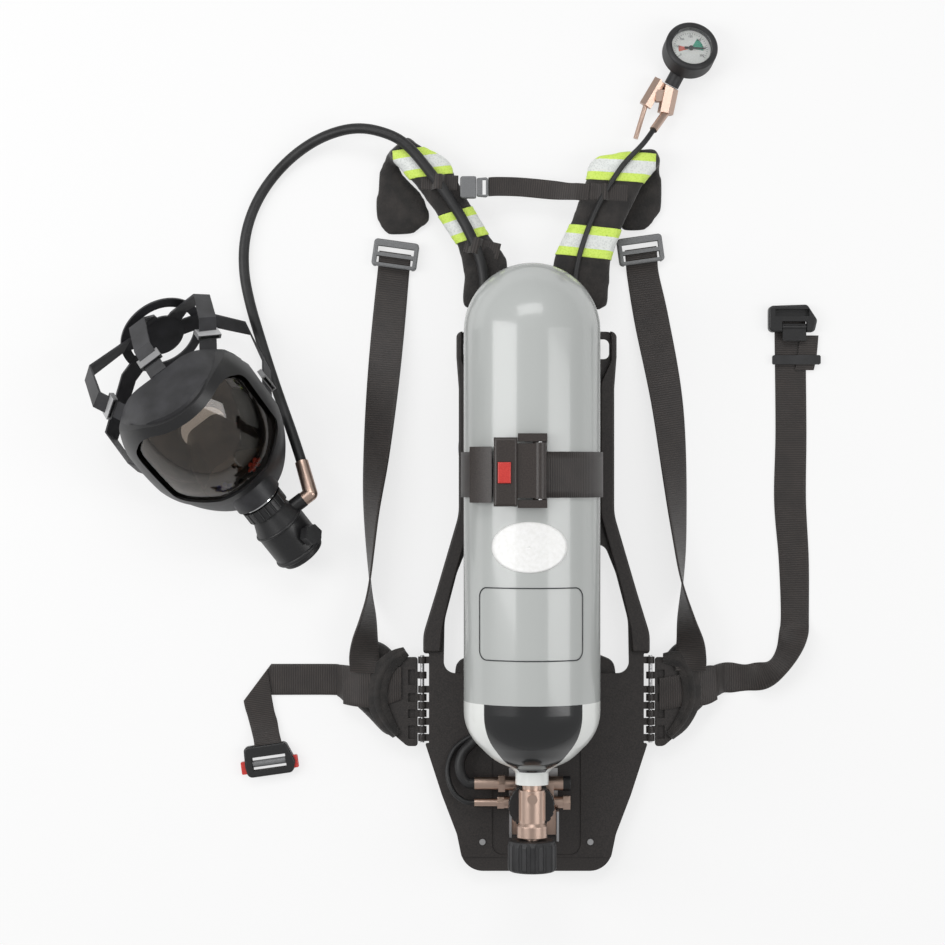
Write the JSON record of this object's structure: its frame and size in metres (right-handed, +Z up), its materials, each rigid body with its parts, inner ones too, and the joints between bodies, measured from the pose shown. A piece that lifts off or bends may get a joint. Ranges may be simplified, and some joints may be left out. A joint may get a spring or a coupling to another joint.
{
  "type": "air pack",
  "caption": "Breathing-air pack: steel tank on a moulded back plate with harness, hip wings, reducer, gauge, hose, demand valve and full face mask.",
  "frame": {"origin": "on the resting face of the lumbar pad, under the tank's axis", "axes": "+Z up from the surface that it lies on, +Y from the tank's valve to its dome, +X to the right seen from above"},
  "size_m": [0.7712, 0.8991, 0.1904],
  "materials": {
    "tank_paint": "gloss",
    "plate_plastic": "satin",
    "cushion_cloth": "matte",
    "webbing": "satin",
    "reflective_cloth": "satin",
    "grey_plastic": "satin",
    "dark_plastic": "satin",
    "black_plastic": "satin",
    "red_plastic": "gloss",
    "warm_nickel": "satin",
    "steel": "satin",
    "bright_metal": "gloss",
    "black_rubber": "satin",
    "face_rubber": "satin",
    "clear_visor": "gloss",
    "clear_lens": "gloss",
    "dial_white": "satin",
    "cup_silicone": "satin"
  },
  "bodies": {
    "pack": {"back_plate": "plate_plastic", "back_pads": "cushion_cloth", "plate_hardware": "steel", "reducer_bracket": "steel", "shoulder_pad_left": "cushion_cloth", "shoulder_pad_right": "cushion_cloth", "reflective_bands": "reflective_cloth", "hose_loops": "webbing", "strap_adjuster_left": "grey_plastic", "strap_adjuster_right": "grey_plastic", "pull_strap_left": "webbing", "pull_strap_right": "webbing", "chest_strap": "webbing", "chest_socket": "grey_plastic", "chest_plug": "grey_plastic", "tank": "tank_paint", "tank_valve": "warm_nickel", "tank_band": "webbing", "band_anchors": "dark_plastic", "lever_pin": "steel", "reducer_body": "warm_nickel", "relief_valve": "black_plastic", "hose_fittings": "warm_nickel", "air_hose_clipped": "black_rubber", "air_hose_free": "black_rubber", "gauge_hose": "black_rubber", "whistle_block": "warm_nickel", "demand_valve": "black_plastic"},
    "valve_wheel": {"valve_handwheel": "black_rubber"},
    "reducer_nut": {"reducer_handwheel": "black_plastic"},
    "band_lever": {"band_lever": "dark_plastic"},
    "lock_button": {"band_lock_button": "red_plastic"},
    "wing_left": {"hip_wing_left": "plate_plastic", "hip_pad_left": "cushion_cloth", "waist_belt_left": "webbing", "buckle_frame": "black_plastic"},
    "buckle_roller": {"buckle_roller": "grey_plastic"},
    "release_outer": {"release_button_outer": "red_plastic"},
    "release_inner": {"release_button_inner": "red_plastic"},
    "wing_right": {"hip_wing_right": "plate_plastic", "hip_pad_right": "cushion_cloth", "waist_belt_right": "webbing", "buckle_tongue": "black_plastic", "belt_keeper": "black_rubber"},
    "adjuster_tab": {"adjuster_tab": "black_plastic"},
    "gauge": {"gauge_boot": "black_rubber", "gauge_dial": "dial_white", "gauge_lens": "clear_lens"},
    "gauge_pointer": {"gauge_pointer": "black_plastic"},
    "port_collar": {"port_collar": "black_plastic"},
    "mask": {"mask_seal": "face_rubber", "visor": "clear_visor", "visor_frame": "black_plastic", "inner_mask": "cup_silicone", "check_valves": "red_plastic", "mask_port": "bright_metal", "head_harness": "face_rubber", "harness_buckles": "steel"},
    "demand_cover": {"demand_cover": "black_rubber"},
    "bypass_knob": {"bypass_knob": "black_plastic"}
  },
  "joints": [
    {"name": "valve_turn", "type": "hinge", "parent": "pack", "child": "valve_wheel", "pos_m": [0, -0.086, 0.098], "axis": [0, -1, 0], "range_deg": [0, 720]},
    {"name": "reducer_nut_turn", "type": "hinge", "parent": "pack", "child": "reducer_nut", "pos_m": [0, -0.038, 0.072], "axis": [0, 0, 1], "continuous": true},
    {"name": "band_lever_swing", "type": "hinge", "parent": "pack", "child": "band_lever", "pos_m": [0.006, 0.308, 0.1798], "axis": [0, 1, 0], "range_deg": [0, 100]},
    {"name": "lock_button_press", "type": "slide", "parent": "band_lever", "child": "lock_button", "axis": [0, 0, -1], "range_m": [0, 0.002], "stiffness_N_per_m": 400},
    {"name": "wing_fold_left", "type": "hinge", "parent": "pack", "child": "wing_left", "pos_m": [-0.114, 0.066, 0.019], "axis": [0, -1, 0], "range_deg": [0, 60]},
    {"name": "wing_fold_right", "type": "hinge", "parent": "pack", "child": "wing_right", "pos_m": [0.127, 0.066, 0.019], "axis": [0, 1, 0], "range_deg": [0, 60]},
    {"name": "buckle_roller_turn", "type": "hinge", "parent": "wing_left", "child": "buckle_roller", "pos_m": [-0.27672, -0.00098, 0.008], "axis": [0.9903, 0.1392, 0], "continuous": true},
    {"name": "release_outer_press", "type": "slide", "parent": "wing_left", "child": "release_outer", "axis": [0.9903, 0.1392, 0], "range_m": [0, 0.0018], "stiffness_N_per_m": 400},
    {"name": "release_inner_press", "type": "slide", "parent": "wing_left", "child": "release_inner", "axis": [-0.9903, -0.1392, 0], "range_m": [0, 0.0018], "stiffness_N_per_m": 400},
    {"name": "adjuster_tab_lift", "type": "hinge", "parent": "wing_right", "child": "adjuster_tab", "pos_m": [0.2805, 0.4605, 0.009], "axis": [-1, 0, 0], "range_deg": [0, 60]},
    {"name": "gauge_swivel", "type": "hinge", "parent": "pack", "child": "gauge", "pos_m": [0.1495, 0.716, 0.0135], "axis": [0.4583, 0.8584, 0.2304], "range_deg": [-30, 30]},
    {"name": "gauge_reading", "type": "hinge", "parent": "gauge", "child": "gauge_pointer", "pos_m": [0.1684, 0.7514, 0.023], "axis": [-0.1368, -0.3136, -0.9397], "range_deg": [0, 270]},
    {"name": "mask_turn", "type": "hinge", "parent": "pack", "child": "port_collar", "pos_m": [-0.2935, 0.2927, 0.0614], "axis": [0.5591, -0.7456, -0.3626], "range_deg": [-20, 20]},
    {"name": "mask_release", "type": "slide", "parent": "port_collar", "child": "mask", "axis": [-0.5591, 0.7456, 0.3626], "range_m": [0, 0.045]},
    {"name": "demand_cover_press", "type": "slide", "parent": "pack", "child": "demand_cover", "axis": [-0.5591, 0.7456, 0.3626], "range_m": [0, 0.003], "stiffness_N_per_m": 400},
    {"name": "bypass_turn", "type": "hinge", "parent": "pack", "child": "bypass_knob", "pos_m": [-0.2368, 0.24, 0.0529], "axis": [0.6372, 0.1068, 0.7632], "range_deg": [0, 90]}
  ]
}
